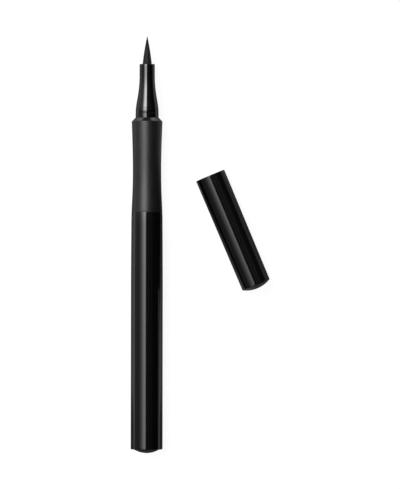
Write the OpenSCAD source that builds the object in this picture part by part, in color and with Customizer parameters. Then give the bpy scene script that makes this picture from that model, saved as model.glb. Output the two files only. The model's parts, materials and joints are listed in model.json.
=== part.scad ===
// Liquid eyeliner pen with a felt point, lying on a table beside its pull-off cap.
// The pen lies along +Y with its point forward. The origin is the centre of the
// whole layout, on the table, and +Z is up. All lengths are in millimetres.

/* [Barrel] */
// Outside diameter of the glossy barrel
barrel_d = 10; // [9:0.1:12]
// Length of the glossy barrel, from its rear rim to the grip
barrel_len = 74.3; // [66:0.5:90]
// Wall of the barrel
barrel_wall = 0.9; // [0.7:0.05:1.1]
// Diameter that the barrel loses towards the grip
barrel_draft = 0.2; // [0.1:0.05:0.4]
// Length of the rear stretch that is a true cylinder
straight_len = 50; // [40:0.5:60]

/* [Grip] */
// Length of the grip, from the barrel to its widest front edge
grip_len = 28.5; // [24:0.1:34]
// Diameter at the waist of the grip
waist_d = 8.9; // [8.4:0.1:9.4]
// Distance from the rear end of the grip to its waist
waist_at = 13.9; // [11:0.1:17]
// Diameter of the front edge of the grip
grip_front_d = 9.64; // [9.1:0.02:10.4]
// Thickness of the grip sleeve at the waist
grip_wall = 1.05; // [0.8:0.05:1.2]

/* [Nose] */
// Diameter of the collar that the cap seats on
seat_d = 7.25; // [7.1:0.05:7.6]
// Length of the collar that the cap seats on
seat_len = 1.4; // [1:0.1:1.8]
// Length of the curved flare of the nose
flare_len = 12.4; // [10:0.1:16]
// Length of the slim front end of the nose
tip_len = 3; // [2.6:0.1:4.4]
// Diameter of the slim front end of the nose
nose_tip_d = 4.8; // [4.2:0.1:5.2]
// Wall of the barrel's neck, under the grip
neck_wall = 0.8; // [0.6:0.05:0.9]
// Length of the nose's spigot inside the neck
spigot_len = 8; // [6:0.1:10]

/* [Point and feed] */
// Diameter of the felt point
nib_d = 2.88; // [2.3:0.02:3.2]
// Length of the felt point outside the nose
nib_len = 8.9; // [6.5:0.05:11]
// Length of the point's shank inside the nose
shank_len = 9; // [7.5:0.1:10]
// Diameter of the feed rod
relay_d = 1.6; // [1.3:0.05:1.9]
// Number of fins on the collector
fin_count = 22; // [14:1:26]
// Thickness of one fin
fin_t = 0.5; // [0.4:0.02:0.6]

/* [Ink tank] */
// Length of the ink tank
tank_len = 50; // [40:0.5:58]
// Wall of the ink tank
tank_wall = 0.7; // [0.5:0.05:0.85]
// Free space between the tank and the barrel
tank_gap = 0.8; // [0.6:0.05:0.95]
// Diameter of the stirring ball
ball_d = 3; // [2.4:0.1:3.5]

/* [Tail plug] */
// Height of the plug's dome above the rear rim
plug_rise = 1.2; // [0.8:0.05:1.6]
// Depth of the plug's skirt inside the barrel
plug_len = 5; // [4:0.1:7]

/* [Cap] */
// Length of the cap without its dome
cap_len = 37.2; // [35:0.2:46]
// Outside diameter of the cap at its mouth
cap_mouth_d = 9.6; // [9.2:0.05:11]
// Outside diameter of the cap at its closed end
cap_end_d = 9.25; // [8.9:0.05:10.6]
// Height of the dome on the closed end
cap_rise = 1.2; // [0.8:0.05:1.6]
// Wall of the cap round the inner cap
cap_wall = 1.1; // [0.9:0.05:1.25]
// Depth of the socket behind the mouth
socket_len = 7.9; // [6.5:0.1:9]
// Depth of the pocket in the inner cap
pocket_len = 16.5; // [15.5:0.1:18.5]
// Wall of the inner cap
inner_wall = 0.55; // [0.45:0.05:0.7]
// Wire diameter of the cap spring
wire_d = 0.4; // [0.3:0.02:0.5]
// Number of turns of the cap spring
spring_turns = 7; // [5:1:8]

/* [Layout] */
// Turn of the cap on the table
cap_angle = 22.9; // [10:0.1:40]
// Place of the cap's mouth, sideways from the pen's axis
cap_x = 19.8; // [18:0.1:30]
// Place of the cap's mouth, forward from the barrel's rear rim
cap_y = 85.9; // [70:0.1:110]

/* [Hidden] */
$fn = 96;

// Gap modelled between two pieces that are pressed together
fit = 0.02;
// Gap round a piece that slides or is only guided
slide_fit = 0.15;
// Overrun of a cutting tool past the face that it cuts
over = 1;

// Barrel details
rim_edge = 0.15;
step_wall = 1.8;
ring_h = 0.15;
ring_len = 0.8;
ring_shares = [0.25, 0.8];
snap_h = 0.1;
snap_len = 0.6;

// Grip and nose details
flare_skew = 1.35;
soft_power = 1.5;
waist_flare_len = 17;
groove_h = 0.05;
groove_len = 0.85;
lug_gap = 0.15;
bead_h = 0.02;
bead_front_len = 0.6;
spigot_wall = 0.7;
nose_edge = 0.25;
vent_w = 0.3;
vent_count = 4;
funnel_len = 1.4;

// Point and feed details
nib_bulge = 0.38;
nib_apex_r = 0.06;
nib_edge = 0.3;
socket_depth = 2.5;
relay_in_tank = 12;
relay_edge = 0.3;
core_wall = 0.75;
pilot_len = 3;
collar_len = 4;
collar_ring_h = 0.08;
air_slot_w = 0.6;
ink_slit_w = 0.2;
tank_flange_len = 1.2;
tank_rib_w = 0.8;
tank_rib_len = 3;
tank_plug_len = 3;
tank_plug_flange = 0.8;
dimple_depth = 0.4;
ball_gap = 0.05;

// Tail plug details
plug_floor = 1;
plug_wall = 0.9;
stem_t = 0.9;
stem_edge = 0.4;

// Cap details
lip_t = 0.3;
end_wall = 1.2;
keeper_h = 0.2;
keeper_len = 0.6;
keeper_gap = 0.3;
socket_gap = 0.07;
lug_bite = 0.02;
lug_len = 0.4;
lug_arc = 24;
lug_count = 3;
flange_len = 1.2;
inner_end = 0.8;
inner_lead = 0.3;
post_len = 1;
post_gap = 0.2;
turn_steps = 12;
wire_sides = 6;

// Radii that follow from the sizes above
barrel_r = barrel_d / 2;
barrel_front_r = (barrel_d - barrel_draft) / 2;
barrel_bore_r = barrel_r - barrel_wall;
waist_r = waist_d / 2;
grip_front_r = grip_front_d / 2;
neck_r = waist_r - grip_wall;
seat_r = seat_d / 2;
neck_bore_r = neck_r - neck_wall;
spigot_r = neck_bore_r - fit;
spigot_bore_r = spigot_r - spigot_wall;
nose_tip_r = nose_tip_d / 2;
nib_r = nib_d / 2;
relay_r = relay_d / 2;
core_r = relay_r + fit + core_wall;
fin_r = neck_bore_r - slide_fit;
tank_r = barrel_bore_r - tank_gap;
tank_bore_r = tank_r - tank_wall;
ball_r = ball_d / 2;
cap_mouth_r = cap_mouth_d / 2;
cap_end_r = cap_end_d / 2;
cap_bore_r = cap_end_r - cap_wall;
socket_r = seat_r + socket_gap;
pocket_r = nose_tip_r + slide_fit;
flange_r = cap_bore_r - slide_fit;
keeper_r = flange_r - keeper_h;

// Places along the pen, measured forward from the barrel's rear rim
waist_s = barrel_len + waist_at;
flare_rear_s = waist_s - waist_flare_len;
grip_front_s = barrel_len + grip_len;
shoulder_h = grip_front_r - seat_r;
seat_s = grip_front_s + shoulder_h;
flare_s = seat_s + seat_len;
groove_s = flare_s + groove_h;
lug_s = groove_s + lug_gap;
bead_s = groove_s + groove_len;
bead_front_s = bead_s + bead_front_len;
tip_s = flare_s + flare_len;
nose_s = tip_s + tip_len;
apex_s = nose_s + nib_len;
nib_rear_s = nose_s - shank_len;
funnel_s = nib_rear_s - funnel_len;
spigot_s = seat_s - spigot_len;
step_s = barrel_len - step_wall;
tank_s = step_s - tank_len;
collar_s = step_s - collar_len;
tank_floor_s = tank_s + tank_plug_len;
stem_s = tank_s - tank_plug_flange + dimple_depth;
ball_s = (tank_floor_s + collar_s - relay_in_tank) / 2;

// Places along the cap, measured from its mouth towards its closed end
keeper_c = socket_len;
inner_c = keeper_c + keeper_len + keeper_gap;
inner_back_c = inner_c + pocket_len + inner_end;
cap_floor_c = cap_len - end_wall;
spring_len = cap_floor_c - inner_back_c;
spring_bore_r = (pocket_r + inner_wall) / 2 + post_gap;

// The layout's middle, so that the origin is the centre of what lies on the table
right_x = cap_x + cap_len * sin(cap_angle) + cap_end_r * cos(cap_angle);
mid_x = (right_x - barrel_r) / 2;
mid_y = (apex_s - plug_rise) / 2;

// A step from 0 to 1 that starts and ends level
function ease(u) = u * u * (3 - 2 * u);
// Radius of a flare that opens from r0 to r1 as u goes from 0 to 1
function flare_r(u, r0, r1) = r0 + (r1 - r0) * ease(pow(u, flare_skew));
// Outside radius of the barrel and the grip at a place s
function body_r(s) =
    s <= straight_len ? barrel_r
    : s <= flare_rear_s
    ? barrel_r - (barrel_r - barrel_front_r)
        * pow((s - straight_len) / (flare_rear_s - straight_len), soft_power)
    : s <= waist_s
    ? flare_r((waist_s - s) / (waist_s - flare_rear_s), waist_r, barrel_front_r)
    : waist_r + (grip_front_r - waist_r) * pow((s - waist_s) / (grip_front_s - waist_s), soft_power);
// Points of the body's outline from s0 up to, but not at, s1 in n steps
function body_points(s0, s1, n) = [
    for (i = [0:n - 1]) let (s = s0 + (s1 - s0) * i / n) [body_r(s), s]
];
// Outside radius of the nose's flare at a place s
function nose_r(s) = flare_r((tip_s - s) / flare_len, nose_tip_r, seat_r);
// Radius of the crest of the low bead that the cap's lugs click over
bead_r = nose_r(bead_s) + bead_h;
// Points of the snap: a shallow groove where the lugs come to rest, rising to the bead
function snap_points() = [
    [seat_r, flare_s], [seat_r - groove_h, groove_s], [bead_r, bead_s],
];
// Points of the nose's flare in n steps, from the bead to its slim end
function nose_points(n) = [
    for (i = [0:n]) let (s = bead_front_s + (tip_s - bead_front_s) * i / n) [nose_r(s), s]
];
// Share of its base radius that the point has at a share u of its length from the apex
function nib_share(u) = u + nib_bulge * u * (1 - u);
// Radius of the sphere whose cap has this rim radius and this height
function dome_r(rim, rise) = (rim * rim + rise * rise) / (2 * rise);

// Turns an outline of [radius, place] points round the axis
module turned(points) {
    rotate_extrude() polygon(points);
}

// Puts a piece that was made along +Z where the pen lies
module on_pen() {
    translate([-mid_x, -mid_y, barrel_r]) rotate([-90, 0, 0]) children();
}

// Puts a piece that was made along +Z, mouth at zero, where the cap lies
module on_cap() {
    translate([cap_x - mid_x, cap_y - mid_y, cap_mouth_r])
        rotate([0, 0, cap_angle]) rotate([90, 0, 0]) children();
}

// A dome with its rim circle at zero, and a root that reaches down into the piece below
module dome(rim, rise, root) {
    sphere_r = dome_r(rim, rise);
    intersection() {
        translate([0, 0, rise - sphere_r]) sphere(r = sphere_r);
        translate([0, 0, -root]) cylinder(r = rim, h = root + rise);
    }
}

// The two low rings on the neck that hold the grip, widened by extra
module neck_rings(extra) {
    for (share = ring_shares)
        translate([0, 0, barrel_len + share * grip_len - ring_len / 2 - extra])
            cylinder(r = neck_r + ring_h + extra, h = ring_len + 2 * extra);
}

module barrel() {
    color("#0b0b0c") on_pen() {
        turned(concat(
            [[barrel_bore_r, 0], [barrel_r - rim_edge, 0], [barrel_r, rim_edge]],
            body_points(straight_len, flare_rear_s, 8),
            body_points(flare_rear_s, barrel_len, 4),
            [
                [body_r(barrel_len), barrel_len], [neck_r, barrel_len], [neck_r, seat_s],
                [neck_bore_r, seat_s], [neck_bore_r, step_s],
                [barrel_bore_r, step_s],
                [barrel_bore_r, plug_len / 2 + snap_len],
                [barrel_bore_r + snap_h, plug_len / 2 + snap_len / 2],
                [barrel_bore_r, plug_len / 2],
            ]
        ));
        difference() {
            neck_rings(0);
            cylinder(r = neck_r - neck_wall / 2, h = seat_s);
        }
    }
}

module grip_sleeve() {
    color("#2a2a2b") on_pen() difference() {
        turned(concat(
            [[neck_r + fit, barrel_len]],
            body_points(barrel_len, waist_s, 14),
            body_points(waist_s, grip_front_s, 12),
            [
                [grip_front_r, grip_front_s],
                [seat_r + fit, seat_s - fit], [neck_r + fit, seat_s - fit],
            ]
        ));
        neck_rings(fit);
    }
}

module nose_section() {
    color("#060606") on_pen() difference() {
        turned(concat(
            [[spigot_bore_r, spigot_s], [spigot_r, spigot_s], [spigot_r, seat_s], [seat_r, seat_s]],
            snap_points(),
            nose_points(18),
            [
                [nose_tip_r, nose_s - nose_edge],
                [nose_tip_r - nose_edge / 3, nose_s - nose_edge / 3],
                [nose_tip_r - nose_edge, nose_s],
                [nib_r + fit, nose_s], [nib_r + fit, nib_rear_s],
                [spigot_bore_r, funnel_s],
            ]
        ));
        // Air channels beside the felt point
        for (turn = [0:vent_count - 1])
            rotate([0, 0, turn * 360 / vent_count])
                translate([nib_r, -vent_w / 2, funnel_s])
                    cube([vent_w, vent_w, nose_s - funnel_s + over]);
    }
}

module nib() {
    steps = 12;
    color("#141414") on_pen() difference() {
        turned(concat(
            [[0, nib_rear_s], [nib_r - nib_edge, nib_rear_s], [nib_r, nib_rear_s + nib_edge]],
            [for (i = [steps:-1:1]) [nib_r * nib_share(i / steps), apex_s - nib_len * i / steps]],
            [[nib_apex_r, apex_s], [0, apex_s]]
        ));
        translate([0, 0, nib_rear_s - over]) cylinder(r = relay_r + fit, h = socket_depth + over);
    }
}

module relay_wick() {
    back_s = collar_s - relay_in_tank;
    front_s = nib_rear_s + socket_depth;
    color("#1d1d1f") on_pen() turned([
        [0, back_s], [relay_r - relay_edge, back_s], [relay_r, back_s + relay_edge],
        [relay_r, front_s - relay_edge], [relay_r - relay_edge, front_s], [0, front_s],
    ]);
}

module collector() {
    pitch = (spigot_s - step_s - fin_t) / (fin_count - 1);
    collar_r = tank_bore_r - fit;
    color("#d9d9d4") on_pen() difference() {
        union() {
            // The collar seals the tank's mouth with one raised ring
            turned([
                [0, collar_s], [collar_r - collar_ring_h, collar_s],
                [collar_r - collar_ring_h, collar_s + collar_len / 3],
                [collar_r, collar_s + collar_len / 2],
                [collar_r - collar_ring_h, step_s - collar_len / 3],
                [collar_r - collar_ring_h, step_s], [0, step_s],
            ]);
            // The core carries the fins, and its front end enters the nose
            translate([0, 0, step_s]) cylinder(r = core_r, h = spigot_s - step_s);
            translate([0, 0, spigot_s]) cylinder(r = spigot_bore_r - fit, h = pilot_len);
            for (i = [0:fin_count - 1])
                translate([0, 0, step_s + i * pitch]) cylinder(r = fin_r, h = fin_t);
        }
        translate([0, 0, collar_s - over])
            cylinder(r = relay_r + fit, h = spigot_s + pilot_len - collar_s + 2 * over);
        // The wide slot lets air in past the fins
        translate([core_r, -air_slot_w / 2, step_s + fin_t])
            cube([fin_r, air_slot_w, spigot_s + pilot_len - step_s]);
        // The narrow slit runs on through the collar and draws ink in among the fins
        translate([-fin_r, -ink_slit_w / 2, collar_s - over])
            cube([fin_r - core_r, ink_slit_w, spigot_s - fin_t - collar_s + over]);
    }
}

module ink_tank() {
    color("#c9ccce") on_pen() {
        turned([
            [tank_bore_r, tank_s], [tank_r, tank_s], [tank_r, step_s - tank_flange_len],
            [barrel_bore_r - fit, step_s - tank_flange_len], [barrel_bore_r - fit, step_s],
            [tank_bore_r, step_s],
        ]);
        for (turn = [0:3]) tank_rib(turn * 90);
    }
}

// One of the ribs that centre the tank's rear end in the barrel
module tank_rib(turn) {
    root_r = tank_r - tank_wall / 2;
    rotate([0, 0, turn]) intersection() {
        translate([root_r, -tank_rib_w / 2, tank_s])
            cube([barrel_bore_r - root_r, tank_rib_w, tank_rib_len]);
        cylinder(r = barrel_bore_r - fit, h = step_s);
    }
}

module tank_plug() {
    skirt_r = tank_bore_r - fit;
    back_s = tank_s - tank_plug_flange;
    color("#b9bcc0") on_pen() turned([
        [0, stem_s], [stem_reach() + fit, stem_s], [stem_reach() + fit, back_s],
        [tank_r, back_s], [tank_r, tank_s], [skirt_r, tank_s],
        [skirt_r, tank_floor_s - tank_wall], [skirt_r - tank_wall, tank_floor_s],
        [skirt_r - 2 * tank_wall, tank_floor_s],
        [skirt_r - 2 * tank_wall, tank_s + tank_wall], [0, tank_s + tank_wall],
    ]);
}

// Half the width of the tail plug's stem where it meets the tank's plug
function stem_reach() = tank_r - 2 * tank_wall;

// The ball lies on the tank's lowest line
module stir_ball() {
    color("#b8bcc2") on_pen()
        translate([0, tank_bore_r - ball_r - ball_gap, ball_s]) sphere(r = ball_r);
}

module tail_plug() {
    skirt_r = barrel_bore_r - fit;
    color("#0b0b0c") on_pen() {
        mirror([0, 0, 1]) dome(skirt_r, plug_rise, plug_floor / 2);
        turned([
            [0, 0], [skirt_r, 0], [skirt_r, plug_len / 2 + fit],
            [skirt_r + snap_h, plug_len / 2 + snap_len / 2],
            [skirt_r, plug_len / 2 + snap_len - fit],
            [skirt_r, plug_len - stem_edge], [skirt_r - stem_edge, plug_len],
            [skirt_r - plug_wall, plug_len], [skirt_r - plug_wall, plug_floor], [0, plug_floor],
        ]);
        for (turn = [0, 90]) rotate([0, 0, turn]) stem_web();
    }
}

// One of the two crossed webs that press the tank forward
module stem_web() {
    reach = stem_reach();
    rotate([90, 0, 0]) translate([0, 0, -stem_t / 2]) linear_extrude(stem_t) polygon([
        [-reach, plug_floor / 2], [reach, plug_floor / 2], [reach, stem_s - stem_edge],
        [reach - stem_edge, stem_s], [stem_edge - reach, stem_s], [-reach, stem_s - stem_edge],
    ]);
}

module cap_shell() {
    color("#08080a") on_cap() {
        translate([0, 0, cap_len]) dome(cap_end_r, cap_rise, end_wall / 2);
        turned([
            [cap_mouth_r - lip_t, 0], [cap_mouth_r - rim_edge, 0], [cap_mouth_r, rim_edge],
            [cap_end_r, cap_len], [0, cap_len],
            [0, cap_floor_c - post_len], [spring_bore_r - post_gap, cap_floor_c - post_len],
            [spring_bore_r - post_gap, cap_floor_c], [cap_bore_r, cap_floor_c],
            [cap_bore_r, keeper_c + keeper_len], [keeper_r, keeper_c + keeper_len / 2],
            [keeper_r, keeper_c], [socket_r, keeper_c],
            [socket_r, cap_mouth_r - lip_t - socket_r],
        ]);
        for (turn = [0:lug_count - 1]) rotate([0, 0, turn * 360 / lug_count]) snap_lug();
    }
}

// One of the short lugs behind the mouth that click over the nose's bead
module snap_lug() {
    lug_c = cap_mouth_r - lip_t - seat_r + lug_s - seat_s;
    lug_r = bead_r - lug_bite;
    rotate([0, 0, -lug_arc / 2]) rotate_extrude(angle = lug_arc) polygon([
        [socket_r + cap_wall / 2, lug_c - lug_len], [socket_r, lug_c - lug_len],
        [lug_r, lug_c], [socket_r, lug_c + lug_len],
        [socket_r + cap_wall / 2, lug_c + lug_len],
    ]);
}

module inner_cap() {
    body_r = pocket_r + inner_wall;
    pocket_end_c = inner_c + pocket_len;
    post_r = spring_bore_r - post_gap;
    color("#e4e4e0") on_cap() turned([
        [pocket_r + inner_lead, inner_c], [flange_r, inner_c],
        [flange_r, inner_c + flange_len], [body_r, inner_c + flange_len],
        [body_r, inner_back_c], [post_r, inner_back_c],
        [post_r, inner_back_c + post_len], [0, inner_back_c + post_len],
        [0, pocket_end_c], [pocket_r, pocket_end_c], [pocket_r, inner_c + inner_lead],
    ]);
}

// Points round the wire, one ring of them for each step along the coil
function coil_points(r, rise, wire_r) = [
    for (i = [0:spring_turns * turn_steps], k = [0:wire_sides - 1]) let (
        a = 360 * i / turn_steps,
        b = 360 * k / wire_sides,
        slope = atan(rise / (2 * PI * r)),
        centre = [r * cos(a), r * sin(a), rise * i / turn_steps],
        out = [cos(a), sin(a), 0],
        up = [sin(a) * sin(slope), -cos(a) * sin(slope), cos(slope)]
    ) centre + wire_r * (cos(b) * out + sin(b) * up)
];

module cap_spring() {
    wire_r = wire_d / 2;
    rise = (spring_len - wire_d) / spring_turns;
    steps = spring_turns * turn_steps;
    last = steps * wire_sides;
    echo(least_gap_between_turns = rise - wire_d);
    color("#a9adb3") on_cap() translate([0, 0, inner_back_c + wire_r]) polyhedron(
        coil_points(spring_bore_r + wire_r, rise, wire_r),
        concat(
            [for (k = [1:wire_sides - 2]) [0, k, k + 1]],
            [for (k = [1:wire_sides - 2]) [last, last + k + 1, last + k]],
            [
                for (i = [0:steps - 1], k = [0:wire_sides - 1], half = [0, 1]) let (
                    a = i * wire_sides + k,
                    b = i * wire_sides + (k + 1) % wire_sides
                ) half == 0 ? [a, a + wire_sides, b] : [b, a + wire_sides, b + wire_sides]
            ]
        )
    );
}

barrel();
grip_sleeve();
nose_section();
nib();
relay_wick();
collector();
ink_tank();
tank_plug();
stir_ball();
tail_plug();
cap_shell();
inner_cap();
cap_spring();
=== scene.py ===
# %% [markdown]
# # A felt-tip eyeliner pen with its cap off
#
# The pen is a slim moulded tube: a glossy barrel, a soft waisted grip, a glossy nose and
# a pressed felt point. Its cap lies beside it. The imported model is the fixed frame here.
# Every piece below is turned or built round it, in metres, in the same frame.

import json
import math

import bmesh
import bpy
from mathutils import Matrix, Vector


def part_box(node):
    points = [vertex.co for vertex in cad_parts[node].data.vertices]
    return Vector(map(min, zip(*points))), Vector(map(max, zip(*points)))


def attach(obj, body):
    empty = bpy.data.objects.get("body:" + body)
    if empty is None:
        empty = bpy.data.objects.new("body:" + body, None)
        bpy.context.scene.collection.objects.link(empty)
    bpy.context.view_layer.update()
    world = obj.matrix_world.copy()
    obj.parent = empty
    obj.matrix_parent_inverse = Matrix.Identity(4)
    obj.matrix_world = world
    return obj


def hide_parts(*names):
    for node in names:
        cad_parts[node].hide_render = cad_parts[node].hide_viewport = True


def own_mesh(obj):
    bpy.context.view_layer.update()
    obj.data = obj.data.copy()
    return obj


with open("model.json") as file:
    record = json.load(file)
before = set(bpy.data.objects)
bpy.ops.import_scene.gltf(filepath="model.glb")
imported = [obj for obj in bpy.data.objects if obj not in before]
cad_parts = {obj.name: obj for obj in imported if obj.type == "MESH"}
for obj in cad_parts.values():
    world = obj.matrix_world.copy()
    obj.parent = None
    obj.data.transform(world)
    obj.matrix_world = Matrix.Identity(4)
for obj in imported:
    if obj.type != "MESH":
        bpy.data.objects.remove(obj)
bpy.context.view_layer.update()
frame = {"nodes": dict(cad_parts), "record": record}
mm = 0.001

# %% [markdown]
# ## Where the pen and the cap lie
#
# Both are bodies of revolution, so each needs only the place of its axis. The pen's axis
# is the middle of the barrel's box. The cap's axis comes from the bore at its mouth, which
# the record states as a mount with a place and a direction. Each piece could be modelled
# where it lies, but a turned outline reads best round the origin. So it is turned there
# round +Y, and a matrix then carries its mesh to the pen or to the cap.

# %% Place the two axes
barrel_low, barrel_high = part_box("barrel")
pen_x = (barrel_low.x + barrel_high.x) / 2
pen_z = (barrel_low.z + barrel_high.z) / 2
pen_place = Matrix.Translation((pen_x, barrel_low.y, pen_z))

mouth_mount = next(m for m in frame["record"]["mounts"] if m["name"] == "cap_mouth")
lip_depth = 0.805
half_bore = mouth_mount["dims"]["length_mm"] / 2
to_mouth = Vector(mouth_mount["axis"])
cap_mouth = Vector(mouth_mount["pos_m"]) + to_mouth * (lip_depth + half_bore) * mm
to_closed_end = -to_mouth
cap_turn = math.atan2(-to_closed_end.x, to_closed_end.y)
cap_place = Matrix.Translation(cap_mouth) @ Matrix.Rotation(cap_turn, 4, "Z")
print("pen axis at", round(pen_x, 5), round(pen_z, 5), "cap mouth at", cap_mouth)

# %% [markdown]
# ## The camera
#
# The picture looks straight down and shows no perspective. An orthographic camera has none
# at all. A very long lens high above the table comes so close to it that no difference
# shows, and it stays an ordinary camera. The lens follows from the width of table that the
# frame takes in. The camera is turned by a hair, because the pen leans a little in the
# picture.

# %% Set the camera
scene = bpy.context.scene
frame_width = 125.47 * mm
camera_height = 1.2
sensor_width = 36
right_of_pen = 16.65 * mm
ahead_of_rim = 64.24 * mm
lean_in_picture = math.radians(0.09)
lens_data = bpy.data.cameras.new("overhead_camera")
lens_data.sensor_fit = "HORIZONTAL"
lens_data.sensor_width = sensor_width
lens_data.lens = sensor_width * camera_height / frame_width
lens_data.clip_end = 20
camera = bpy.data.objects.new("overhead_camera", lens_data)
camera.location.x = pen_x + right_of_pen
camera.location.y = barrel_low.y + ahead_of_rim
camera.location.z = pen_z + camera_height
camera.rotation_euler.z = lean_in_picture
scene.collection.objects.link(camera)
scene.camera = camera
scene.view_settings.view_transform = "Standard"
print("lens", round(lens_data.lens), "mm")

# %% [markdown]
# ## A short way to write shader nodes
#
# Each node is named by its kind, its settings and its inputs. An input is either a plain
# value or the socket that feeds it, so a chain of nodes reads from top to bottom.

# %% Node helpers
def node(tree, kind, inputs=None, **settings):
    made = tree.nodes.new("ShaderNode" + kind)
    for name, value in settings.items():
        setattr(made, name, value)
    for name, value in (inputs or {}).items():
        if isinstance(value, bpy.types.NodeSocket):
            tree.links.new(value, made.inputs[name])
        else:
            made.inputs[name].default_value = value
    return made


def maths(tree, operation, first, second=0.0, third=0.0):
    values = {0: first, 1: second, 2: third}
    return node(tree, "Math", values, operation=operation).outputs[0]


def vector_maths(tree, operation, first, second=(0, 0, 0)):
    return node(tree, "VectorMath", {0: first, 1: second}, operation=operation).outputs[0]


def ramp(tree, value, stops):
    made = node(tree, "ValToRGB", {"Fac": value})
    marks = made.color_ramp.elements
    marks.remove(marks[1])
    for i, (place, grey) in enumerate(stops):
        mark = marks[0] if i == 0 else marks.new(place)
        mark.position = place
        mark.color = (grey, grey, grey, 1)
    return made.outputs["Color"]


print("helpers: node, maths, vector_maths, ramp")

# %% [markdown]
# ## The studio light
#
# Black gloss shows nothing but what it mirrors, so the light decides the look. One large
# soft box hangs over the left of the table and runs along the pen. Its right edge is
# sharp and stands almost over the pen, and it fades away towards the left. The right side
# of the studio is dark but for a faint stripe or two. Area lamps would mirror as even
# rectangles. The world paints the box by direction instead, which lets it rise and fade:
# first with the angle round the pen's axis, then with how far the direction leans forward,
# where the box is brightest.

# %% Draw the soft box
def studio_angle(degrees):
    return degrees / 360 + 0.5


box_profile = [
    (-180, 0.0), (-93, 0.09), (-80, 0.075), (-61, 0.07), (-53, 0.105), (-45, 0.185),
    (-37.6, 0.32), (-30, 0.58), (-22.8, 0.84), (-15, 1.0), (-9, 1.0), (-5.5, 0.012),
    (5, 0.012), (12, 0.034), (18, 0.014), (24, 0.01), (34, 0.02), (42, 0.008),
    (55, 0.004), (80, 0.004), (93, 0.01),
]
box_lean = [
    (0.0, 0.01), (0.26, 0.1), (0.31, 0.2), (0.36, 0.185), (0.4, 0.14), (0.44, 0.185),
    (0.5, 0.36), (0.54, 0.56), (0.58, 0.78), (0.64, 1.0), (0.7, 0.8), (0.78, 0.6),
    (0.88, 0.1), (1.0, 0.03),
]
print("soft box:", len(box_profile), "steps round the pen,", len(box_lean), "along it")

# %% Light the studio
box_strength = 11.7
world = bpy.data.worlds.new("studio")
scene.world = world
world.use_nodes = True
tree = world.node_tree
tree.nodes.clear()
direction = node(tree, "TexCoord").outputs["Generated"]
toward = node(tree, "SeparateXYZ", {"Vector": direction}).outputs
angle = maths(tree, "ARCTAN2", toward["X"], toward["Z"])
turn_share = maths(tree, "MULTIPLY_ADD", angle, 1 / (2 * math.pi), 0.5)
across = ramp(tree, turn_share, [(studio_angle(a), v) for a, v in box_profile])
lean = maths(tree, "MULTIPLY_ADD", toward["Y"], 0.5, 0.5)
along = ramp(tree, lean, box_lean)
glow = vector_maths(tree, "MULTIPLY", across, along)
box_light = node(tree, "Background", {"Color": glow, "Strength": box_strength})
white = node(tree, "Background", {"Color": (1, 1, 1, 1), "Strength": 1.0})
ray = node(tree, "LightPath").outputs
seen = maths(tree, "MAXIMUM", ray["Is Camera Ray"], ray["Is Transmission Ray"])
pick = node(tree, "MixShader", {0: seen, 1: box_light.outputs[0], 2: white.outputs[0]})
node(tree, "OutputWorld", {"Surface": pick.outputs[0]})
print("world:", world.name, "at strength", box_strength)

# %% [markdown]
# ## The white table
#
# The table is a wide sheet of white paper. The camera sees it white, with a little of the
# shadow left in it. A plain white sheet would mirror as one bright rim on all black gloss.
# So reflections see the paper with painted shade close to a piece, where it lies in that
# piece's own shade. Four patches are painted too. Three are painted shade: beside the nose,
# behind the tail and on the right. The fourth is a painted pool of light beside the grip,
# so that the grip's right rim shows. The lit part of the sheet ends a hand's width away,
# which keeps the rims of black gloss dark. All other rays see a plain pale board.

# %% Helpers for a new mesh and a new material
def linked(name, bm, material):
    mesh = bpy.data.meshes.new(name)
    bm.to_mesh(mesh)
    bm.free()
    mesh.materials.append(material)
    made = bpy.data.objects.new(name, mesh)
    scene.collection.objects.link(made)
    return made


def new_material(name):
    material = bpy.data.materials.new(name)
    material.use_nodes = True
    material.node_tree.nodes.clear()
    print("material", name)
    return material, material.node_tree


print("helpers: linked, new_material")

# %% Patches on the table
nose_y = barrel_low.y + 118 * mm
tail_y = barrel_low.y - 2 * mm
# Each patch has its middle, its reach to the right and ahead, and its level of light: below 1 it
# is painted shade, above 1 a painted pool of light
painted_patches = {
    "beside the nose": ((pen_x, nose_y, 0), (14 * mm, 12 * mm, 1), 0.7),
    "behind the tail": ((pen_x, tail_y, 0), (34 * mm, 26 * mm, 1), 0.09),
    "on the right": ((50 * mm, -5 * mm, 0), (46 * mm, 85 * mm, 1), 0.22),
    "painted light beside the grip": ((-8 * mm, 24 * mm, 0), (6.5 * mm, 16 * mm, 1), 6.0),
}
even_share = 0.6


def patch_light(tree, where, middle, reach, level):
    offset = vector_maths(tree, "SUBTRACT", where, middle)
    share = vector_maths(tree, "DIVIDE", offset, reach)
    away = node(tree, "VectorMath", {0: share}, operation="LENGTH").outputs["Value"]
    return node(tree, "MapRange", {
        "Value": away, "From Min": even_share, "From Max": 1.0, "To Min": level,
    }, interpolation_type="SMOOTHSTEP").outputs[0]


print("patches on the table:", list(painted_patches))

# %% Paper as reflections see it
paper, tree = new_material("white_paper")
own_shade_reach = 80 * mm
own_shade_depth = 12.0
lit_until = 75 * mm
dark_from = 170 * mm
where = node(tree, "TexCoord").outputs["Object"]
# Painted shade: ambient occlusion darkens the paper that reflections see close to a piece
near = node(tree, "AmbientOcclusion", {"Distance": own_shade_reach}, samples=16)
mirrored = maths(tree, "POWER", near.outputs["AO"], own_shade_depth)
for middle, reach, level in painted_patches.values():
    patch = patch_light(tree, where, middle, reach, level)
    mirrored = maths(tree, "MULTIPLY", mirrored, patch)
far = node(tree, "VectorMath", {0: where}, operation="LENGTH").outputs["Value"]
edge = node(tree, "MapRange", {
    "Value": far, "From Min": lit_until, "From Max": dark_from, "To Min": 1.0, "To Max": 0.03,
}).outputs[0]
mirrored = maths(tree, "MULTIPLY", mirrored, edge)
print("lit paper fades out from", round(lit_until / mm), "to", round(dark_from / mm), "mm")

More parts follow.
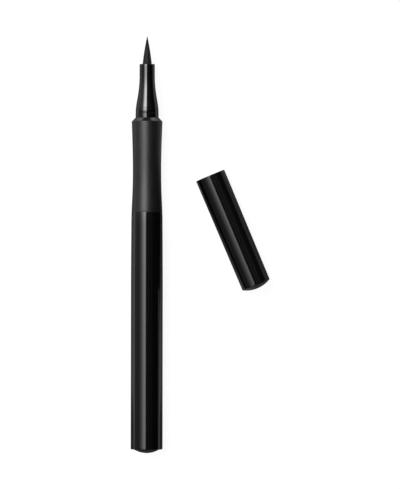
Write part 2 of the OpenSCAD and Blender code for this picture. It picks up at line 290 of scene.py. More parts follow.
# %% What each kind of ray sees
sheet_glow = 0.94
sheet_grey = (0.1, 0.1, 0.1, 1)
board_grey = (0.8, 0.8, 0.8, 1)
ray = node(tree, "LightPath").outputs
is_glossy = ray["Is Glossy Ray"]
level = node(tree, "MapRange", {"Value": is_glossy, "To Min": 1.0, "To Max": mirrored})
glow = maths(tree, "MULTIPLY", level.outputs[0], sheet_glow)
own = node(tree, "Emission", {"Color": (1, 1, 1, 1), "Strength": glow})
shade = node(tree, "BsdfDiffuse", {"Color": sheet_grey})
sheet = node(tree, "AddShader", {0: own.outputs[0], 1: shade.outputs[0]})
board = node(tree, "BsdfDiffuse", {"Color": board_grey})
seen = maths(tree, "MAXIMUM", ray["Is Camera Ray"], ray["Is Transmission Ray"])
seen = maths(tree, "MAXIMUM", seen, is_glossy)
pick = node(tree, "MixShader", {0: seen, 1: board.outputs[0], 2: sheet.outputs[0]})
node(tree, "OutputMaterial", {"Surface": pick.outputs[0]})
paper.cycles.emission_sampling = "NONE"
print("camera, glass and gloss see the sheet, all other rays the board")

# %% Lay the table
table_r = 6
table_gap = 0.02 * mm
bm = bmesh.new()
bmesh.ops.create_circle(bm, cap_ends=True, segments=96, radius=table_r)
bmesh.ops.translate(bm, verts=bm.verts, vec=(0, 0, -table_gap))
table = linked("table", bm, paper)
print("table laid,", table_r, "m in radius")

# %% [markdown]
# ## A card over the nose
#
# The nose shows a narrow band of light with a clean edge on each side. The soft box alone
# would leave it dim. A lamp would light the felt and the grip as well, so a lit card hangs
# over the nose on the left, and only reflections can see it. It adds to the soft box and
# is brightest in front, where the nose's flare looks.

# %% Light of the card
card_height = 160 * mm
card_right = pen_x - 0.03 * card_height
card_left = pen_x - 1.0 * card_height
card_full = pen_x - 0.5 * card_height
card_back = nose_y - 20 * mm
card_front = nose_y + 80 * mm
card_steps = [(0.0, 0.08), (0.08, 0.18), (0.17, 0.42), (0.4, 0.7), (0.65, 1.0), (1.0, 0.9)]
card_strength = 8.5
card_light, tree = new_material("card_light")
where = node(tree, "TexCoord").outputs["Object"]
spot = node(tree, "SeparateXYZ", {"Vector": where}).outputs
left_edge = node(tree, "MapRange", {
    "Value": spot["X"], "From Min": card_left, "From Max": card_full,
}, interpolation_type="SMOOTHSTEP").outputs[0]
ahead = node(tree, "MapRange", {
    "Value": spot["Y"], "From Min": card_back, "From Max": card_front,
}).outputs[0]
glow = maths(tree, "MULTIPLY", left_edge, ramp(tree, ahead, card_steps))
own = node(tree, "Emission", {"Strength": maths(tree, "MULTIPLY", glow, card_strength)})
clear = node(tree, "BsdfTransparent")
both = node(tree, "AddShader", {0: own.outputs[0], 1: clear.outputs[0]})
node(tree, "OutputMaterial", {"Surface": both.outputs[0]})
card_light.cycles.emission_sampling = "NONE"

# %% Hang the card
bm = bmesh.new()
corners = [
    (card_left, card_back), (card_right, card_back),
    (card_right, card_front), (card_left, card_front),
]
bm.faces.new([bm.verts.new((x, y, card_height)) for x, y in corners])
card = linked("nose_card", bm, card_light)
for ray_kind in ("camera", "diffuse", "transmission", "shadow", "volume_scatter"):
    setattr(card, "visible_" + ray_kind, False)
print("card spans", round((card_right - card_left) / mm), "mm at", round(card_height / mm), "mm")

# %% [markdown]
# ## Effects that several finishes share
#
# Moulded plastic is never quite even, and felt never quite plain. Each effect could be
# drawn again in every material, but as a node group it is built once and placed where it
# is needed, with its own values. Fine grain is the tiny texture that a mould leaves.
# Handling is what fingers and a pencil case add: soft smudges and a few hair-fine rubs
# along the length. Combed fibre is the run of strands in felt and in the feed rod.

# %% Group helpers
def new_group(name, numbers, results):
    group = bpy.data.node_groups.new(name, "ShaderNodeTree")
    sockets = group.interface
    for label, start in numbers.items():
        entry = sockets.new_socket(label, in_out="INPUT", socket_type="NodeSocketFloat")
        entry.default_value = start
    for label in results:
        sockets.new_socket(label, in_out="OUTPUT", socket_type="NodeSocketFloat")
    where = node(group, "TexCoord").outputs["Object"]
    return group, where, group.nodes.new("NodeGroupInput").outputs


def put_out(group, results):
    out = group.nodes.new("NodeGroupOutput")
    for label, socket in results.items():
        group.links.new(socket, out.inputs[label])
    print("group", group.name, "puts out", sorted(results))


print("helpers: new_group, put_out")

# %% Fine grain
fine_grain, where, given = new_group(
    "fine_grain", {"Scale": 4000.0, "Amount": 1.0}, ["Height", "Tone"],
)
speck = node(fine_grain, "TexNoise", {"Vector": where, "Scale": given["Scale"], "Detail": 3.0})
pits = node(fine_grain, "TexVoronoi", {"Vector": where, "Scale": given["Scale"]})
grain = maths(fine_grain, "MULTIPLY_ADD", pits.outputs["Distance"], 0.5, speck.outputs["Fac"])
height = maths(fine_grain, "MULTIPLY", grain, given["Amount"])
cloud = node(fine_grain, "TexNoise", {"Vector": where, "Scale": 260.0, "Detail": 2.0})
put_out(fine_grain, {"Height": height, "Tone": cloud.outputs["Fac"]})

# %% Handling
handling, where, given = new_group("handling", {"Smudge": 0.5, "Rubs": 0.3}, ["Dulling"])
soft = node(handling, "TexNoise", {
    "Vector": where, "Scale": 150.0, "Detail": 4.0, "Distortion": 1.2,
}).outputs["Fac"]
spread = node(handling, "MapRange", {"Value": soft, "From Min": 0.46, "From Max": 0.72})
lengthwise = node(handling, "Mapping", {"Vector": where, "Scale": (5200.0, 110.0, 5200.0)})
hair = node(handling, "TexNoise", {
    "Vector": lengthwise.outputs[0], "Scale": 1.0, "Detail": 2.0,
}).outputs["Fac"]
rub = node(handling, "MapRange", {"Value": hair, "From Min": 0.62, "From Max": 0.74})
dull = maths(handling, "MULTIPLY", spread.outputs[0], given["Smudge"])
line = maths(handling, "MULTIPLY", rub.outputs[0], given["Rubs"])
put_out(handling, {"Dulling": maths(handling, "ADD", dull, line)})

# %% Combed fibre
combed_fibre, where, given = new_group(
    "combed_fibre", {"Across": 9000.0, "Along": 420.0}, ["Strand"],
)
stretch = node(combed_fibre, "CombineXYZ", {
    "X": given["Across"], "Y": given["Along"], "Z": given["Across"],
}).outputs[0]
combed = node(combed_fibre, "Mapping", {"Vector": where, "Scale": stretch}).outputs[0]
strand = node(combed_fibre, "TexNoise", {"Vector": combed, "Scale": 1.0, "Detail": 3.0})
put_out(combed_fibre, {"Strand": strand.outputs["Fac"]})

# %% [markdown]
# ## Finishes
#
# A finish is one Principled shader. A flat colour with one roughness would be quicker, but
# no real moulding is so even. So the shared groups vary the tone of the colour, the
# roughness and the normal. What is the same all over, such as the index of refraction or
# the sheen, is a plain number on its socket. The barrel, the tail plug and the cap are one
# polished black, and the nose is from a finer mould.

# %% Build a finish from the shared effects
def grouped(tree, group, **values):
    used = node(tree, "Group", node_tree=group)
    for label, value in values.items():
        used.inputs[label].default_value = value
    return used.outputs


def moulded(tree, colour, roughness, grain, depth, smudge, rubs, swing=0.15, tone_by=1.0):
    mould = grouped(tree, fine_grain, Scale=grain, Amount=1.0)
    marks = grouped(tree, handling, Smudge=smudge, Rubs=rubs)
    relief = node(tree, "Bump", {
        "Height": mould["Height"], "Strength": 1.0, "Distance": depth,
    })
    tone = node(tree, "MapRange", {
        "Value": mould["Tone"], "To Min": 1 - swing, "To Max": 1 + swing,
    }).outputs[0]
    tone = maths(tree, "MULTIPLY", tone, tone_by)
    tint = node(tree, "VectorMath", {0: colour, "Scale": tone}, operation="SCALE")
    return {
        "Base Color": tint.outputs[0],
        "Roughness": maths(tree, "ADD", marks["Dulling"], roughness),
        "Normal": relief.outputs[0],
    }


def finish(tree, sockets):
    shader = node(tree, "BsdfPrincipled", sockets)
    node(tree, "OutputMaterial", {"Surface": shader.outputs[0]})
    print("shader sockets set:", sorted(sockets))


print("helpers: grouped, moulded, finish")

# %% Gloss finishes
gloss_black, tree = new_material("gloss_black")
polished = moulded(
    tree, (0.0014, 0.0014, 0.0015), roughness=0.09,
    grain=900, depth=0.0003 * mm, smudge=0.05, rubs=0.03,
)
finish(tree, {**polished, "IOR": 1.5})

nose_gloss, tree = new_material("nose_gloss")
polished = moulded(
    tree, (0.0012, 0.0012, 0.0013), roughness=0.05,
    grain=900, depth=0.0002 * mm, smudge=0.03, rubs=0.02,
)
finish(tree, {**polished, "IOR": 1.45})

# %% [markdown]
# The grip is soft to the touch and matte all over but for its sloping shoulder. The cap's
# mouth rubs that each time it is pushed home, so it is smoother and has a thin polished
# coat. Its colour is also darkened there, as painted shade under the nose's collar. The
# shoulder could be a piece of its own, but it is one moulding with the grip. So its finish
# changes over a short step along the pen.

# %% Soft grip finish
soft_black, grip_tree = new_material("soft_black")
shoulder_y = barrel_low.y + 102.9 * mm
shoulder_step = 0.15 * mm
where = node(grip_tree, "TexCoord").outputs["Object"]
along_pen = node(grip_tree, "SeparateXYZ", {"Vector": where}).outputs["Y"]


def at_shoulder(on_grip, on_shoulder):
    return node(grip_tree, "MapRange", {
        "Value": along_pen, "From Min": shoulder_y, "From Max": shoulder_y + shoulder_step,
        "To Min": on_grip, "To Max": on_shoulder,
    }).outputs[0]


soft_touch = moulded(
    grip_tree, (0.0055, 0.0055, 0.0057), roughness=at_shoulder(0.41, 0.06),
    grain=5200, depth=at_shoulder(0.008 * mm, 0.001 * mm), smudge=0.05, rubs=0.04,
    # Painted shade: the shoulder's colour is darkened to a fifth, for the shade under the collar
    tone_by=at_shoulder(1.0, 0.2),
)
finish(grip_tree, {
    **soft_touch, "IOR": 1.475, "Coat Weight": at_shoulder(0.0, 1.0),
    "Coat Roughness": 0.06, "Coat IOR": 1.52,
})

# %% [markdown]
# ## Turning a piece
#
# Nearly every piece of a pen is round, so it is drawn as half an outline and spun. Stacked
# cylinders would do for plain steps but not for curves. The outline is a few corners of
# (radius, place). A third number rounds that corner, because no moulded edge is truly
# sharp and the thin bright line on a rounded edge is what makes it look real. The spin
# closes on itself, the poles are merged, and only real corners stay sharp in the shading.

# %% Draw half an outline
holding_reach = 2.5


def round_corner(bm, corner, rounding):
    # A holding ring on each side keeps the rounding out of the long flat's shading
    for edge in list(corner.link_edges):
        reach = holding_reach * rounding * mm
        if edge.calc_length() > 2 * reach:
            bmesh.utils.edge_split(edge, corner, reach / edge.calc_length())
    bmesh.ops.bevel(
        bm, geom=[corner], offset=rounding * mm, segments=4, profile=0.5,
        affect="VERTICES", material=-1,
    )


def half_outline(bm, outline, closed):
    corners = [bm.verts.new((0, point[1] * mm, point[0] * mm)) for point in outline]
    pairs = list(zip(corners, corners[1:] + corners[:1]))
    for start, end in pairs if closed else pairs[:-1]:
        bm.edges.new((start, end))
    for corner, point in zip(corners, outline):
        if len(point) == 3:
            round_corner(bm, corner, point[2])


print("an outline's corner is (radius, place) or (radius, place, rounding), in mm")

# %% Spin, shade and place a piece
def turned(bm, outline, closed=True, steps=128):
    half_outline(bm, outline, closed)
    bmesh.ops.spin(
        bm, geom=bm.verts[:] + bm.edges[:], cent=(0, 0, 0), axis=(0, 1, 0),
        angle=2 * math.pi, steps=steps, use_merge=True,
    )
    bmesh.ops.remove_doubles(bm, verts=bm.verts, dist=0.0005 * mm)


def shade_by_angle(bm, degrees=32):
    bmesh.ops.recalc_face_normals(bm, faces=bm.faces)
    for face in bm.faces:
        face.smooth = True
    for edge in bm.edges:
        if len(edge.link_faces) == 2:
            edge.smooth = edge.calc_face_angle() < math.radians(degrees)


def piece(name, bm, place, material, body, node_name):
    shade_by_angle(bm)
    bmesh.ops.transform(bm, matrix=place, verts=bm.verts)
    made = linked(name, bm, material)
    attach(made, body)
    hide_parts(node_name)
    print(name, len(made.data.polygons), "faces")
    return made


print("helpers: turned, shade_by_angle, piece")

# %% [markdown]
# A few shapes aren't round all the way: air channels beside the felt, webs behind the tail
# plug and lugs in the cap. Each is made as a solid of its own, and a boolean then cuts it
# out of the turned piece or joins it on, so that every piece stays one closed skin.

# %% The boolean helper
def combine(target, tool, operation):
    boolean = target.modifiers.new("combine", "BOOLEAN")
    boolean.object = tool
    boolean.operation = operation
    boolean.solver = "EXACT"
    bpy.context.view_layer.update()
    result = target.evaluated_get(bpy.context.evaluated_depsgraph_get())
    target.data = bpy.data.meshes.new_from_object(result)
    target.modifiers.clear()
    bpy.data.objects.remove(tool)
    bm = bmesh.new()
    bm.from_mesh(target.data)
    shade_by_angle(bm)
    bm.to_mesh(target.data)
    bm.free()
    print(target.name, "combined:", len(target.data.polygons), "faces")


print("helper: combine")

# %% [markdown]
# ## Barrel
#
# The barrel is one long moulding. It is a true cylinder for most of its length, then
# thins very slightly, and carries on under the grip as a slim neck. The gentle curves of
# barrel and grip are one line, so one function gives the radius for both. A spline would
# look the same, but a function can be cut into as many steps as each piece needs. Two low
# rings on the neck hold the grip, and a groove in the bore takes the ring of the tail plug.

# %% The line of barrel and grip
barrel_r = 5.0
flare_r = 4.9
waist_r = 4.45
grip_front_r = 4.82
straight_end = 50
flare_end = 71.2
grip_rear = 74.3
waist_place = 88.2
grip_front = 102.8
flare_skew = 1.35
bend = 1.5


def flare(u, slim, wide):
    skewed = u ** flare_skew
    return slim + (wide - slim) * skewed * skewed * (3 - 2 * skewed)


def body_radius(place):
    if place <= straight_end:
        return barrel_r
    if place <= flare_end:
        reach = (place - straight_end) / (flare_end - straight_end)
        return barrel_r - (barrel_r - flare_r) * reach ** bend
    if place <= waist_place:
        return flare((waist_place - place) / (waist_place - flare_end), waist_r, flare_r)
    reach = (place - waist_place) / (grip_front - waist_place)
    return waist_r + (grip_front_r - waist_r) * reach ** bend


def curve(radius_at, start, end, count):
    places = [start + (end - start) * i / count for i in range(count + 1)]
    return [(radius_at(place), place) for place in places]


print("waist", waist_r * 2, "mm across, grip front", grip_front_r * 2, "mm")

# %% Rings that hold the grip and the plug
ring_height = 0.15
ring_half = 0.4
ring_places = (81.425, 97.1)
snap_height = 0.1
snap_half = 0.28
snap_place = 2.8
groove_gap = 0.02


def ring(base_r, middle, half, *rounding):
    crest = base_r + ring_height
    return [
        (base_r, middle - half), (crest, middle - half, *rounding),
        (crest, middle + half, *rounding), (base_r, middle + half),
    ]


def snap(base_r, half):
    crest = base_r + snap_height
    return [(base_r, snap_place - half), (crest, snap_place), (base_r, snap_place + half)]


print("rings at", ring_places, "and snap at", snap_place, "mm from the rear rim")

# %% Barrel
bore_r = 4.1
bore_end = 72.5
neck_r = 3.4
neck_bore_r = 2.6
neck_end = 103.995
barrel_front_r = body_radius(grip_rear)
neck_rings = [
    point for middle in ring_places for point in ring(neck_r, middle, ring_half, 0.05)
]
barrel_outline = (
    [(bore_r, 0, 0.06), (barrel_r, 0, 0.2)]
    + curve(body_radius, straight_end, flare_end, 10)
    + curve(body_radius, flare_end, grip_rear, 3)[1:-1]
    + [(barrel_front_r, grip_rear, 0.07), (neck_r, grip_rear)]
    + neck_rings
    + [(neck_r, neck_end), (neck_bore_r, neck_end), (neck_bore_r, bore_end), (bore_r, bore_end)]
    + snap(bore_r, snap_half + groove_gap)[::-1]
)
bm = bmesh.new()
turned(bm, barrel_outline)
piece("barrel_tube", bm, pen_place, gloss_black, "pen", "barrel")

# %% [markdown]
# ## Grip
#
# The grip is a separate sleeve of soft matte plastic, waisted for two fingers, with a
# sloping shoulder at its front. Two grooves inside take the rings on the neck. It could be
# painted onto the barrel, but as a sleeve its rear edge is rounded a little, so that a
# fine dark line parts it from the glossy barrel.

# %% Grip sleeve
sleeve_bore = 3.42
sleeve_front = 103.975
sleeve_front_r = 3.645
shoulder_end = 103.9
shoulder_end_r = 3.74
seam_step = 0.01
groove_half = ring_half + groove_gap
ring_grooves = [
    point for middle in reversed(ring_places)
    for point in ring(sleeve_bore, middle, groove_half)[::-1]
]
sleeve_outline = (
    [(sleeve_bore, grip_rear), (barrel_front_r - seam_step, grip_rear, 0.1)]
    + curve(body_radius, grip_rear, waist_place, 20)[1:]
    + curve(body_radius, waist_place, grip_front, 16)[1:-1]
    + [(grip_front_r, grip_front, 0.1), (shoulder_end_r, shoulder_end, 0.04)]
    + [(sleeve_front_r, sleeve_front), (sleeve_bore, sleeve_front)]
    + ring_grooves
)
bm = bmesh.new()
turned(bm, sleeve_outline)
piece("soft_grip", bm, pen_place, soft_black, "pen", "grip_sleeve")

# %% [markdown]
# ## Nose
#
# The nose starts as a straight collar for the cap. In front of it are a shallow groove and
# a low bead that the cap's lugs click over, and then the fine line where two halves of the
# mould met. The nose flares down to a slim front end. A bump texture could fake the lines,
# but they are turned with the rest, so that they show on the mesh too.

# %% The line of the nose
collar_end = 105.395
flare_front = 117.795
nose_front = 120.795
nose_wide_r = 3.625
nose_slim_r = 2.4


def nose_radius(place):
    reach = (flare_front - place) / (flare_front - collar_end)
    return flare(reach, nose_slim_r, nose_wide_r)


groove_r = nose_wide_r - 0.05
groove_place = 105.445
bead_place = 106.295
bead_r = nose_radius(bead_place) + 0.02
bead_front = 106.895
mould_line = 107.05
mould_line_half = 0.05
mould_line_depth = 0.04
mould_line_points = [
    (nose_radius(mould_line - mould_line_half), mould_line - mould_line_half),
    (nose_radius(mould_line) - mould_line_depth, mould_line),
    (nose_radius(mould_line + mould_line_half), mould_line + mould_line_half),
]
print("bead", round(bead_r * 2, 3), "mm across, mould line", mould_line, "mm from the rear")

# %% Nose section
spigot_r = 2.58
spigot_bore = 1.88
spigot_rear = 95.995
funnel_rear = 110.395
socket_rear = 111.795
felt_bore = 1.46
flare_start = mould_line + 0.35
slim_middle = 119.2
nose_outline = (
    [(spigot_bore, spigot_rear), (spigot_r, spigot_rear, 0.1), (spigot_r, neck_end)]
    + [(nose_wide_r, neck_end), (nose_wide_r, collar_end)]
    + [(groove_r, groove_place), (bead_r, bead_place, 0.45)]
    + [(nose_radius(bead_front), bead_front)]
    + mould_line_points
    + curve(nose_radius, flare_start, flare_front, 29)
    + [(nose_slim_r, slim_middle), (nose_slim_r, nose_front, 0.22)]
    + [(felt_bore, nose_front), (felt_bore, socket_rear), (spigot_bore, funnel_rear)]
)
bm = bmesh.new()
turned(bm, nose_outline)
nose = piece("nose", bm, pen_place, nose_gloss, "pen", "nose_section")

# %% [markdown]
# Four narrow air channels run beside the felt, so that air can get in as ink runs out. A
# spin can't make them, and moving single vertices would spoil the turned skin. So four
# slim bars are laid round the axis and cut out.

# %% Cut the air channels
channel_size = (0.3 * mm, 11 * mm, 0.6 * mm)
channel_middle = 116.32
channel_r = felt_bore - 0.02
bm = bmesh.new()
for quarter in range(4):
    made = bmesh.ops.create_cube(bm, size=1)["verts"]
    bmesh.ops.scale(bm, verts=made, vec=channel_size)
    bmesh.ops.translate(bm, verts=made, vec=(0, channel_middle * mm, channel_r * mm))
    quarter_turn = Matrix.Rotation(quarter * math.pi / 2, 4, "Y")
    bmesh.ops.transform(bm, matrix=quarter_turn, verts=made)
bmesh.ops.transform(bm, matrix=pen_place, verts=bm.verts)
combine(nose, linked("channel_cutter", bm, nose_gloss), "DIFFERENCE")

# %% [markdown]
# ## Felt point
#
# The point is pressed from fibre that runs forward and is ground to an ogive. Hairs could
# be grown on it, but the real form is smooth. So the fibres are left to the finish: the
# combed strands darken and lift the surface, and a little sheen gives the fuzz of felt.

# %% Felt finish
felt, tree = new_material("felt")
strand = grouped(tree, combed_fibre, Across=9000.0, Along=420.0)["Strand"]
mould = grouped(tree, fine_grain, Scale=9000.0, Amount=0.35)
shades = ramp(tree, strand, [(0.3, 0.0015), (0.55, 0.0055), (0.75, 0.013)])
lift = maths(tree, "ADD", strand, mould["Height"])
relief = node(tree, "Bump", {"Height": lift, "Strength": 1.0, "Distance": 0.02 * mm})
finish(tree, {
    "Base Color": shades, "Roughness": 0.7, "IOR": 1.32, "Normal": relief.outputs[0],
    "Sheen Weight": 0.06, "Sheen Roughness": 0.5,
})

# %% Felt point
point_r = 1.44
point_len = 8.9
point_apex = 129.695
rod_hole_r = 0.82
rod_hole_end = 114.295
ogive_steps = 24
ogive_bulge = 0.38
rounded_tip = [(0.055, 129.58), (0.03, 129.665), (0, point_apex)]


def ogive_radius(place):
    u = 1 - (place - nose_front) / point_len
    return point_r * (u + ogive_bulge * u * (1 - u))


point_outline = (
    [(0, rod_hole_end), (rod_hole_r, rod_hole_end), (rod_hole_r, socket_rear)]
    + [(point_r, socket_rear, 0.3)]
    + curve(ogive_radius, nose_front, nose_front + point_len, ogive_steps)[:-1]
    + rounded_tip
)
bm = bmesh.new()
turned(bm, point_outline, closed=False, steps=64)
piece("felt_point", bm, pen_place, felt, "pen", "nib")

# %% [markdown]
# ## Tail plug
#
# A low domed plug closes the barrel's rear. Behind its dome, crossed webs press the ink
# tank forward. The dome could be cut from a whole sphere, but a few points on its arc can
# be turned together with the skirt.

# %% A dome from its rim and its rise
def dome_curve(rim, rise, rim_place, outward, count):
    ball_r = (rim * rim + rise * rise) / (2 * rise)
    turn = math.asin(rim / ball_r)
    points = []
    for i in range(count + 1):
        part = turn * (1 - i / count)
        lift = ball_r * math.cos(part) - (ball_r - rise)
        points.append((ball_r * math.sin(part), rim_place + outward * lift))
    return points


dome_rise = 1.2
print("domes rise", dome_rise, "mm")

# %% Tail plug
plug_r = 4.08
plug_len = 5
plug_inner_r = 3.18
plug_floor = 1
plug_outline = (
    dome_curve(plug_r, dome_rise, 0, -1, 14)[::-1]
    + snap(plug_r, snap_half)
    + [(plug_r, plug_len, 0.35), (plug_inner_r, plug_len)]
    + [(plug_inner_r, plug_floor), (0, plug_floor)]
)
bm = bmesh.new()
turned(bm, plug_outline, closed=False)
tail_cap = piece("tail_dome", bm, pen_place, gloss_black, "pen", "tail_plug")

# %% [markdown]
# The webs are a cross-shaped face that is extruded along the pen and joined to the plug.
# Two crossed boxes would do as well, but they would overlap in the middle.

# %% Crossed webs behind the plug
web_half = 0.45
web_reach = 1.9
web_start = 0.6
web_end = 22.1
bm = bmesh.new()
corners = []
for quarter in range(4):
    for x, z in ((-web_half, web_half), (-web_half, web_reach), (web_half, web_reach)):
        spot = Matrix.Rotation(quarter * math.pi / 2, 3, "Y") @ Vector((x, 0, z))
        corners.append(bm.verts.new((spot.x * mm, web_start * mm, spot.z * mm)))
cross = bm.faces.new(corners)
grown = bmesh.ops.extrude_face_region(bm, geom=[cross])["geom"]
tip_verts = [g for g in grown if isinstance(g, bmesh.types.BMVert)]
bmesh.ops.translate(bm, verts=tip_verts, vec=(0, (web_end - web_start) * mm, 0))
bmesh.ops.recalc_face_normals(bm, faces=bm.faces)
bmesh.ops.transform(bm, matrix=pen_place, verts=bm.verts)
combine(tail_cap, linked("webs", bm, gloss_black), "UNION")

# %% [markdown]
# ## Cap
#
# The cap is one moulding with its domed end. Its mouth has a thin lip and a lead-in, and
# three short lugs stand behind it. Further in, a raised ring keeps the inner cap from
# falling out, and a post at the closed end centres the spring. The inside could be left
# out, but the mouth is open to view, so the outline goes in and out again.

# %% Cap shell
cap_mouth_r = 4.8
cap_end_r = 4.625
cap_rim = 37.2
lead_in_r = 4.5
cap_bore_r = 3.695
guide_r = 3.525
guide_start = 8.5
keeper_r = 3.175
keeper_front = 7.9
keeper_rear = 8.2
cap_floor = 36.0
post_r = 1.55
post_top = 35
cap_outline = (
    [(0, post_top), (post_r, post_top, 0.1), (post_r, cap_floor), (guide_r, cap_floor)]
    + [(guide_r, guide_start), (keeper_r, keeper_rear, 0.06), (keeper_r, keeper_front, 0.06)]
    + [(cap_bore_r, keeper_front), (cap_bore_r, lip_depth, 0.08)]
    + [(lead_in_r, 0, 0.04), (cap_mouth_r, 0, 0.11), (cap_end_r, cap_rim, 0.22)]
    + dome_curve(cap_end_r, dome_rise, cap_rim, 1, 16)[1:]
)
bm = bmesh.new()
turned(bm, cap_outline, closed=False)
cap = piece("cap_body", bm, cap_place, gloss_black, "cap", "cap_shell")

# %% [markdown]
# The lugs are short ridges inside the mouth, one piece with the cap's plastic. Small
# wedges pushed into the wall would do, but their tops would be flat. So each lug is a
# five-cornered section that is spun through a small angle and follows the round wall.

# %% Snap lugs
lug_place = 2.475
lug_half = 0.4
lug_root_r = 4.2
lug_crest_r = 3.592
lug_arc = math.radians(24)
first_lug = 78
lug_section = [
    (lug_root_r, lug_place - lug_half), (cap_bore_r, lug_place - lug_half),
    (lug_crest_r, lug_place),
    (cap_bore_r, lug_place + lug_half), (lug_root_r, lug_place + lug_half),
]
bm = bmesh.new()
for third in range(3):
    rim = [bm.verts.new((0, place * mm, r * mm)) for r, place in lug_section]
    bmesh.ops.spin(
        bm, geom=[bm.faces.new(rim)], cent=(0, 0, 0), axis=(0, 1, 0),
        angle=lug_arc, steps=8, use_merge=False,
    )
    lug_turn = Matrix.Rotation(math.radians(120 * third + first_lug), 3, "Y")
    new_verts = [v for v in bm.verts if not v.tag]
    bmesh.ops.rotate(bm, verts=new_verts, cent=(0, 0, 0), matrix=lug_turn)
    for v in bm.verts:
        v.tag = True
bmesh.ops.recalc_face_normals(bm, faces=bm.faces)
bmesh.ops.transform(bm, matrix=cap_place, verts=bm.verts)
combine(cap, linked("lugs", bm, gloss_black), "UNION")

# %% [markdown]
# A lug is so low that its edges bend less than the shading's limit, and smooth shading
# would smear across them. A lower limit for the whole cap would facet its rounded edges.
# So only the edges that lie on a lug are marked as sharp.

# %% Keep the lugs' edges crisp
to_origin = cap_place.inverted()
inside_r = cap_bore_r + 0.025
beside_lug = lug_half + 0.02
least_bend = math.radians(8)
bm = bmesh.new()
bm.from_mesh(cap.data)
crisp = 0
for edge in bm.edges:
    middle = to_origin @ ((edge.verts[0].co + edge.verts[1].co) / 2)
    is_inside = math.hypot(middle.x, middle.z) < inside_r * mm
    is_at_lugs = abs(middle.y - lug_place * mm) < beside_lug * mm
    if is_inside and is_at_lugs and edge.calc_face_angle(0) > least_bend:
        edge.smooth = False
        crisp += 1
bm.to_mesh(cap.data)
bm.free()
print("crisp edges on the lugs:", crisp)

# %% [markdown]
# ## Inner cap
#
# The inner cap is a small cup of natural white plastic. It closes over the nose's front
# end and keeps the felt from drying. It could take the shell's finish in white, but it is
# softer than the shell, so it has a warmer tint, a duller surface and lets a little light
# into itself.

# %% White plastic
white_plastic, tree = new_material("white_plastic")
natural_white = moulded(
    tree, (0.8, 0.79, 0.76), roughness=0.34, grain=1500, depth=0.001 * mm,
    smudge=0.08, rubs=0.05,
)
finish(tree, {
    **natural_white, "IOR": 1.5,
    "Subsurface Weight": 0.15, "Subsurface Radius": (0.0012, 0.001, 0.0008),
})

# %% Inner cap
cup_r = 3.1
cup_back = 26.1
pocket_r = 2.55
pocket_end = 25.3
pocket_start = 9.1
pocket_lead_r = 2.85
flange_r = 3.375
flange_front = 8.8
flange_back = 10
centring_post = [(post_r, cup_back), (post_r, cup_back + 1, 0.12), (0, cup_back + 1)]
inner_outline = (
    [(0, pocket_end), (pocket_r, pocket_end, 0.3), (pocket_r, pocket_start)]
    + [(pocket_lead_r, flange_front, 0.05), (flange_r, flange_front, 0.1)]
    + [(flange_r, flange_back, 0.1), (cup_r, flange_back), (cup_r, cup_back, 0.2)]
    + centring_post
)
bm = bmesh.new()
turned(bm, inner_outline, closed=False, steps=96)
piece("inner_cup", bm, cap_place, white_plastic, "inner_cap", "inner_cap")

# %% [markdown]
# ## Cap spring
#
# The spring is a round wire that is spun with a rise on every step. A curve with a bevel
# would make a coil too, but this one is a closed mesh from the start. A plain mirror would
# be the simplest steel, but drawn wire is a little dull. So it shares the grain and the
# handling of the plastics, with a smaller swing in its tone.

# %% Steel finish
steel, tree = new_material("steel")
bright = moulded(
    tree, (0.6, 0.61, 0.63), roughness=0.2, grain=6000, depth=0.001 * mm,
    smudge=0.12, rubs=0.1, swing=0.1,
)
finish(tree, {**bright, "Metallic": 1.0})

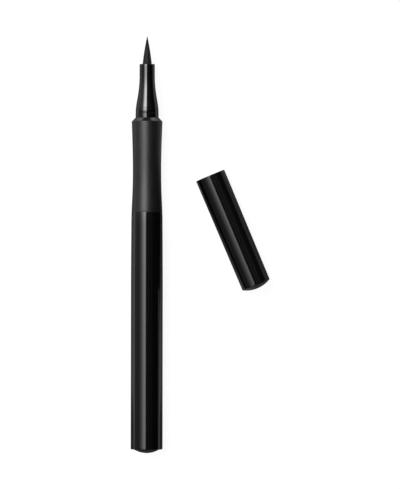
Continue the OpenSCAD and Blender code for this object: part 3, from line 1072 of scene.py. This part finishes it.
# %% Cap spring
wire_r = 0.2
coil_r = 1.95
turns = 7
steps_per_turn = 40
steps = turns * steps_per_turn
coil_len = cap_floor - cup_back
coil_rise = coil_len - 2 * wire_r
slope = math.atan(coil_rise / turns / (2 * math.pi * coil_r))
across_wire = Matrix.Rotation(slope - math.pi / 2, 3, "X")
bm = bmesh.new()
wire = bmesh.ops.create_circle(bm, cap_ends=True, segments=12, radius=wire_r * mm)["verts"]
bmesh.ops.rotate(bm, verts=wire, cent=(0, 0, 0), matrix=across_wire)
bmesh.ops.translate(bm, verts=wire, vec=(coil_r * mm, 0, 0))
bmesh.ops.spin(
    bm, geom=bm.faces[:], cent=(0, 0, 0), axis=(0, 0, 1),
    dvec=(0, 0, coil_rise * mm / steps), angle=2 * math.pi * turns, steps=steps,
    use_merge=False,
)
to_cup_back = Matrix.Translation((0, (cup_back + wire_r) * mm, 0))
lay_along = to_cup_back @ Matrix.Rotation(-math.pi / 2, 4, "X")
bmesh.ops.transform(bm, matrix=lay_along, verts=bm.verts)
coil = piece("cap_coil", bm, cap_place, steel, "cap", "cap_spring")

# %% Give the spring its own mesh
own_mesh(coil)

# %% [markdown]
# ## The pieces inside the barrel
#
# The ink tank, its plug, the comb that buffers the ink, the feed rod and the stirring
# ball are exact as packed, so they aren't made again and need only finishes. The tank and
# its plug are natural plastic. Glass would be too clear for it and white too dense, so
# more than half of the light goes through and the rest comes back. The rod is bonded
# fibre, so it shares the felt's combed strands, only coarser and paler.

# %% Clear plastic
clear_plastic, tree = new_material("clear_plastic")
milky = moulded(
    tree, (0.78, 0.79, 0.78), roughness=0.28, grain=1300, depth=0.001 * mm,
    smudge=0.1, rubs=0.06,
)
finish(tree, {**milky, "IOR": 1.49, "Transmission Weight": 0.6})

# %% Feed rod fibre
wick, tree = new_material("wick")
strand = grouped(tree, combed_fibre, Across=7000.0, Along=260.0)["Strand"]
shades = ramp(tree, strand, [(0.3, 0.02), (0.7, 0.07)])
relief = node(tree, "Bump", {"Height": strand, "Strength": 1.0, "Distance": 0.03 * mm})
finish(tree, {
    "Base Color": shades, "Roughness": 0.85, "IOR": 1.4, "Normal": relief.outputs[0],
})

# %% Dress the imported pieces
inside_finish = {
    "relay_wick": wick, "collector": white_plastic, "ink_tank": clear_plastic,
    "tank_plug": clear_plastic, "stir_ball": steel,
}
for name, material in inside_finish.items():
    inner = frame["nodes"][name]
    inner.data.materials.clear()
    inner.data.materials.append(material)
print("dressed:", sorted(inside_finish))
